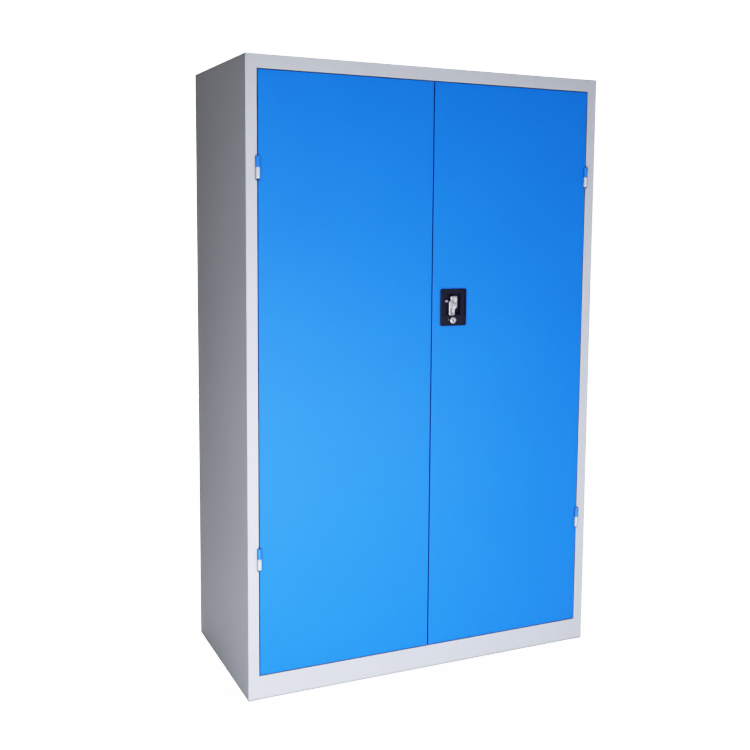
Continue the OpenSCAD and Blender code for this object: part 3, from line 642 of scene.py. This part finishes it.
def lever_section(z):
    """Points round the lever at one height: up its left side, over the crown and back."""
    left, right = lever_edges(z)
    front = lever_front + corner_inset(z, lever_head, crown_round) + corner_inset(z, -lever_arm, crown_round)
    side = min(crown_round, (right - left) / 2 - crown_flat)
    deep = min(crown_round, lever_back - back_round - front)
    turns = [math.radians(turn) for turn in quarter]
    rounding = [(side * (1 - math.cos(turn)), front + deep * (1 - math.sin(turn))) for turn in turns]
    section = [(left + back_round, lever_back), (left, lever_back - back_round)]
    section += [(left + x, y) for x, y in rounding]
    for k in range(1, crown_steps):
        x = left + side + (right - left - 2 * side) * k / crown_steps
        scoop = scoop_deep * ease(-z, *scoop_top) * ease(z, *scoop_foot)
        scoop *= math.sin(math.pi * k / crown_steps)
        dimple = dimple_deep * mound((x, z), dimple_at, *dimple_reach)
        bulge = shoulder_proud * mound((x, z), shoulder_at, *shoulder_reach)
        section.append((x, max(front + scoop + dimple - bulge, lever_front)))
    section += [(right - x, y) for x, y in reversed(rounding)]
    return section + [(right, lever_back - back_round), (right - back_round, lever_back)]


def spaced(low, high, fine, coarse, reach):
    """Values from low to high, fine near both ends and coarse between."""
    values = [low + fine * k for k in range(int(reach / fine))]
    middle = max(2, round((high - low - 2 * reach) / coarse))
    values += [low + reach + (high - low - 2 * reach) * k / middle for k in range(middle + 1)]
    return values + [high - reach + fine * (k + 1) for k in range(int(reach / fine))]


def turned(name, profile, centre, material=None, axis="Y", steps=48):
    """A piece turned about an axis along Y or Z: (radius, place) pairs, closed if none has radius 0."""
    points, rings, faces = [], [], []
    for radius, along in profile:
        first = len(points)
        spots = disc(0, 0, radius, steps) if radius else [(0, 0)]
        for a, b in spots:
            points.append((centre[0] + a, along, centre[1] + b) if axis == "Y"
                          else (centre[0] + a, centre[1] + b, along))
        rings.append([first + (k if radius else 0) for k in range(steps)])
    hollow = all(radius for radius, along in profile)
    for one, two in zip(rings, rings[1:] + (rings[:1] if hollow else [])):
        for k in range(steps):
            near = dict.fromkeys((one[k], one[(k + 1) % steps], two[(k + 1) % steps], two[k]))
            if len(near) > 2:
                faces.append(tuple(near))
    return mesh_piece(name, points, faces, material)


def smooth(piece, sharper_than):
    """Shades a cast or turned piece smooth but for the edges sharper than so many degrees."""
    piece.data.shade_smooth()
    piece.data.set_sharp_from_angle(angle=math.radians(sharper_than))


levels = spaced(-lever_arm, lever_head, fine_level, coarse_level, fine_reach)
lever = solid("lever_casting", [[(pivot[0] + x, y, pivot[1] + z) for x, y in lever_section(z)]
                                for z in levels], plated_casting)
hub_end = recess_floor_y - hub_clear
combine(lever, turned("hub", [
    (0, lever_back - hub_sunk), (hub_radius, lever_back - hub_sunk), (hub_radius, hub_end - turned_chamfer),
    (hub_radius - turned_chamfer, hub_end), (journal_radius, hub_end), (journal_radius, cam_front),
    (0, cam_front)], pivot), "UNION")
square = centred(square_half, square_half, square_corner, steps=4)
combine(lever, block("square", square, cam_front - lap, cam_back, pivot), "UNION")
combine(lever, turned("thread", [
    (0, cam_back - lap), (thread_radius, cam_back - lap), (thread_radius, thread_end - turned_chamfer),
    (thread_radius - turned_chamfer, thread_end), (0, thread_end)], pivot, steps=32), "UNION")
smooth(lever, sharper_than=35)
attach(lever, "lever")
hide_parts("lock_lever")

# The key barrel is turned and plated, with a rounded collar on the plate. Its plug, which the
# key turns, has a keyway in a slightly dished face.
collar_radius = 10.0 * mm
collar_flat = 7.2 * mm
collar_fall = 1.9 * mm
body_radius = 8.5 * mm
plug_bore = 6.05 * mm
plug_radius = 6.0 * mm
plug_rim = 0.9 * mm
bore_chamfer = 0.3 * mm
face_dish = ((0, 0.35 * mm), (2.0 * mm, 0.32 * mm), (4.0 * mm, 0.15 * mm))
keyway_half = (0.8 * mm, 3.2 * mm)
keyway_corner = 0.7 * mm
keyway_deep = 8.0 * mm
mouth_half = (1.6 * mm, 3.6 * mm)
mouth_corner = 1.5 * mm
mouth_deep = 0.5 * mm
mouth_ends = 1.3 * mm
tail_half = 3.0 * mm
tail_corner = 0.4 * mm
pawl_screw_deep = 2.0 * mm
# The keyway's cut walls are painted near black: painted shade deep in the slot.
keyway_shade_tones = (0.004, 0.012)
slot_grain = 1500.0

barrel_at = (lock_at[0], lock_at[1] - barrel_down)
barrel_low, barrel_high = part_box("lock_barrel")
barrel_face = barrel_low.y
collar = [(collar_flat + (collar_radius - collar_flat) * across, barrel_face + collar_fall * (1 - ahead))
          for ahead, across in arc((0, 0), 1.0, 0, 90, 8)]
barrel = turned("key_barrel", [
    (plug_bore, barrel_face + bore_chamfer), (plug_bore + bore_chamfer, barrel_face)] + collar + [
    (collar_radius, ledge_y), (body_radius, ledge_y), (body_radius, barrel_high.y),
    (plug_bore, barrel_high.y)], barrel_at, plated_casting, steps=64)
smooth(barrel, sharper_than=30)
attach(barrel, "door_right")
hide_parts("lock_barrel")

# Near-black material on the keyway's walls is painted shade, not the plug's metal.
keyway_shade_paint, tree = new_material("keyway_shade_paint")
shade = spread(tree, noise(tree, slot_grain, detail=2.0), *keyway_shade_tones)
surface(tree, {"Base Color": shade, "Roughness": 0.7})

plug_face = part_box("lock_plug")[0].y
plug = turned("key_plug_face", [(radius, plug_face + deep) for radius, deep in face_dish] + [
    (plug_radius - plug_rim, plug_face), (plug_radius - bore_chamfer, plug_face),
    (plug_radius, plug_face + bore_chamfer), (plug_radius, cam_front), (0, cam_front)],
    barrel_at, plated_casting, steps=64)
tail = centred(tail_half, tail_half, tail_corner, steps=3)
combine(plug, block("tail", tail, cam_front - lap, cam_back, barrel_at), "UNION")
mouth = centred(*mouth_half, mouth_corner, steps=3)
keyway = centred(*keyway_half, keyway_corner, steps=3)
combine(plug, lofted("keyway", [
    (plug_face - lap, mouth), (plug_face + mouth_deep, mouth), (plug_face + mouth_ends, keyway),
    (plug_face + keyway_deep, keyway)], barrel_at, keyway_shade_paint), "DIFFERENCE")
combine(plug, turned("screw_seat", [
    (0, cam_front - pawl_screw_deep), (screw_radius, cam_front - pawl_screw_deep),
    (screw_radius, cam_back + over), (0, cam_back + over)], barrel_at, steps=24), "DIFFERENCE")
smooth(plug, sharper_than=30)
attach(plug, "key_plug")
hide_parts("lock_plug")

# A small plated pin with a domed head stands beside the barrel and keeps it from turning in its
# seat.
pin_out = 15.5 * mm
pin_up = 1.8 * mm
pin_head = 1.4 * mm
pin_proud = 0.9 * mm
pin_sunk = 0.4 * mm

pin_at = (barrel_at[0] - pin_out, barrel_at[1] + pin_up)
dome = [(pin_head * across, ledge_y - pin_proud * ahead) for ahead, across in arc((0, 0), 1.0, 0, 90, 6)]
barrel_pin = turned("barrel_key_pin", dome + [(pin_head, ledge_y + pin_sunk), (0, ledge_y + pin_sunk)],
                    pin_at, plated_casting, steps=24)
smooth(barrel_pin, sharper_than=40)
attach(barrel_pin, "door_right")

# The four lift-off hinges are turned steel. The lower knuckle holds the pin and is welded behind
# the frame's jamb, the upper one is welded inside the door's edge and drops over the pin. On the
# smooth turned steel the paints are glossier, and both are painted a little lighter than the frame's
# and the door's as a painted highlight on the round knuckles.
# These paints are lighter than the body's and the doors' only as a painted highlight.
lit_hinge_grey = (0.54, 0.575, 0.64)
lit_hinge_blue = (0.004, 0.17, 0.82)
hinge_gloss = 0.5
knuckle_radius = 6.0 * mm
knuckle_chamfer = 0.8 * mm
chamfer_middle = (0.2 * mm, 0.45 * mm)
hinge_pin_radius = 3.0 * mm
hinge_bore = 3.05 * mm
bore_blind = 2.0 * mm
leaf_thick = 2.0 * mm
leaf_root = 3.4 * mm
leaf_edge = 0.3 * mm
leaf_reach = {"frame": 20.0 * mm, "door": 17.0 * mm}

pin_over_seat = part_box("hinge_pins")[1].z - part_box("hinge_frame_half_left_upper")[1].z
chamfer = ((knuckle_radius - knuckle_chamfer, 0.0),
           (knuckle_radius - chamfer_middle[0], chamfer_middle[1]),
           (knuckle_radius, knuckle_chamfer))
leaf_inside = {"frame": open_half + sheet, "door": -door_low.x - sheet - leaf_thick}
lit_hinge_coats = {"frame": coated("grey_hinge_lit_coat", lit_hinge_grey, 0.0, hinge_gloss),
               "door": coated("blue_hinge_lit_coat", lit_hinge_blue, 0.0, hinge_gloss)}
for side, outward in (("left", -1), ("right", 1)):
    for level in ("upper", "lower"):
        pin_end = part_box(f"hinge_frame_half_{side}_{level}")[1].z + pin_over_seat
        for half in ("frame", "door"):
            node = f"hinge_{half}_half_{side}_{level}"
            low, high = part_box(node)
            axis = ((low.x + high.x) / 2, low.y + knuckle_radius)
            outside = [(radius, low.z + up) for radius, up in chamfer]
            outside += [(radius, high.z - down) for radius, down in reversed(chamfer)]
            if half == "frame":
                profile = [(hinge_pin_radius, low.z)] + outside + [(hinge_pin_radius, high.z)]
            else:
                bore = [(0, pin_end + bore_blind), (hinge_bore, pin_end + bore_blind), (hinge_bore, low.z)]
                profile = bore + outside + [(0, high.z)]
            shell = turned(f"hinge_{half}_knuckle_{side}_{level}", profile, axis, lit_hinge_coats[half], "Z")
            near = outward * leaf_inside[half]
            leaf_left, leaf_right = sorted((near, near + outward * leaf_thick))
            root = axis[1] + leaf_root
            tip = front_y + leaf_reach[half]
            leaf = [(leaf_left, root), (leaf_right, root), (leaf_right, tip - leaf_edge),
                    (leaf_right - leaf_edge, tip), (leaf_left + leaf_edge, tip), (leaf_left, tip - leaf_edge)]
            combine(shell, upright("leaf", leaf, low.z, high.z, lit_hinge_coats[half]), "UNION")
            smooth(shell, sharper_than=25)
            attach(shell, "carcass" if half == "frame" else f"door_{side}")
            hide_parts(node)

# Each door's stiffener is spot welded to the back of its sheet along both feet. A weld leaves a
# shallow ring pressed up in the painted foot.
stiffener_foot = 16.0 * mm
weld_pitch = 120.0 * mm
weld_from_end = 30.0 * mm
ring_inside = 2.0 * mm
ring_outside = 3.2 * mm
ring_slope = 0.4 * mm
ring_proud = 0.15 * mm
ring_sunk = 0.02 * mm

for side in ("left", "right"):
    low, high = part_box(f"door_stiffener_{side}")
    foot_y = low.y + sheet
    ring = [(ring_inside, foot_y - ring_sunk), (ring_inside + ring_slope, foot_y + ring_proud),
            (ring_outside - ring_slope, foot_y + ring_proud), (ring_outside, foot_y - ring_sunk)]
    rows = int((high.z - low.z - 2 * weld_from_end) / weld_pitch)
    rings = []
    for x in (low.x + stiffener_foot / 2, high.x - stiffener_foot / 2):
        for row in range(rows + 1):
            z = low.z + weld_from_end + row * weld_pitch
            rings.append(turned("ring", ring, (x, z), blue_coat, steps=20))
    marks = joined(f"door_{side}_spot_welds", rings)
    marks.data.shade_smooth()
    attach(marks, f"door_{side}")

# The hidden parts of the lock, its bars and guides, the bolts, the shelf clips and the hinge
# pins are bright zinc plated steel, faintly clouded and finely drawn. Their pressed and sheared
# edges are slightly broken, but the hinge pins stay as turned.
zinc_colour = (0.62, 0.63, 0.65)
zinc_shades = (0.88, 1.08)
zinc_roughness = (0.28, 0.48)
zinc_clouds = 60.0
drawn_grain = 900.0
drawn_depth = 0.03 * mm
broken_edge = 0.2 * mm
corner_within = 0.002 * mm
flat_within = math.radians(0.5)

zinc_plate, tree = new_material("zinc_plate")
cloud = noise(tree, zinc_clouds, detail=4.0)
surface(tree, {"Base Color": shaded(tree, zinc_colour, spread(tree, cloud, *zinc_shades)),
               "Metallic": 1.0, "Roughness": spread(tree, cloud, *zinc_roughness),
               "Normal": bumped(tree, noise(tree, drawn_grain, detail=2.0), drawn_depth)})
finish_slot("zinc_plate", zinc_plate)

for entry in frame["record"]["subparts"]:
    if entry["material_slot"] == "zinc_plate" and entry["node"] != "hinge_pins":
        part = frame["nodes"][entry["node"]]
        part.modifiers.new("close", "WELD").merge_threshold = corner_within
        flat = part.modifiers.new("flat", "DECIMATE")
        flat.decimate_type = "DISSOLVE"
        flat.angle_limit = flat_within
        bevelled(part, broken_edge, segments=2, sharper_than=40)

# The washers between the hinge halves and the lever's spacer are plain brass, turned from the
# bar and left bright.
brass_dark = (0.52, 0.33, 0.10, 1.0)
brass_light = (0.78, 0.56, 0.22, 1.0)
brass_roughness = (0.25, 0.42)
brass_clouds = 400.0

brass, tree = new_material("washer_brass")
cloud = noise(tree, brass_clouds, detail=3.0)
tint = put(tree, "ShaderNodeValToRGB", {"Fac": cloud})
tint.color_ramp.elements[0].color = brass_dark
tint.color_ramp.elements[1].color = brass_light
surface(tree, {"Base Color": tint.outputs["Color"], "Metallic": 1.0,
               "Roughness": spread(tree, cloud, *brass_roughness)})
finish_slot("washer_brass", brass)

# The door bumpers are domed black rubber pads, moulded and stuck to the stops behind the doors'
# edges.
rubber_shades = (0.018, 0.035)
rubber_grain = 700.0
rubber_depth = 0.1 * mm
pad_radius = 5.0 * mm
pad_skirt = 0.4 * mm
pad_flat = 0.55

bumper_rubber, tree = new_material("bumper_rubber")
grain = noise(tree, rubber_grain, detail=3.0)
surface(tree, {"Base Color": spread(tree, grain, *rubber_shades), "Roughness": 0.75,
               "Normal": bumped(tree, grain, rubber_depth)})

bumper_low, bumper_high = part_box("door_bumpers")
skirt_y = bumper_high.y - pad_skirt
dome = [(pad_radius * (pad_flat + (1 - pad_flat) * across), skirt_y - (skirt_y - bumper_low.y) * ahead)
        for across, ahead in arc((0, 0), 1.0, 0, 90, 6)]
profile = [(0, bumper_high.y), (pad_radius, bumper_high.y)] + dome + [(0, bumper_low.y)]
pads = []
for x in (bumper_low.x + pad_radius, bumper_high.x - pad_radius):
    for z in (bumper_low.z + pad_radius, bumper_high.z - pad_radius):
        pads.append(turned("pad", profile, (x, z), bumper_rubber, steps=32))
bumpers = joined("door_bumper_pads", pads)
smooth(bumpers, sharper_than=40)
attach(bumpers, "carcass")
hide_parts("door_bumpers")
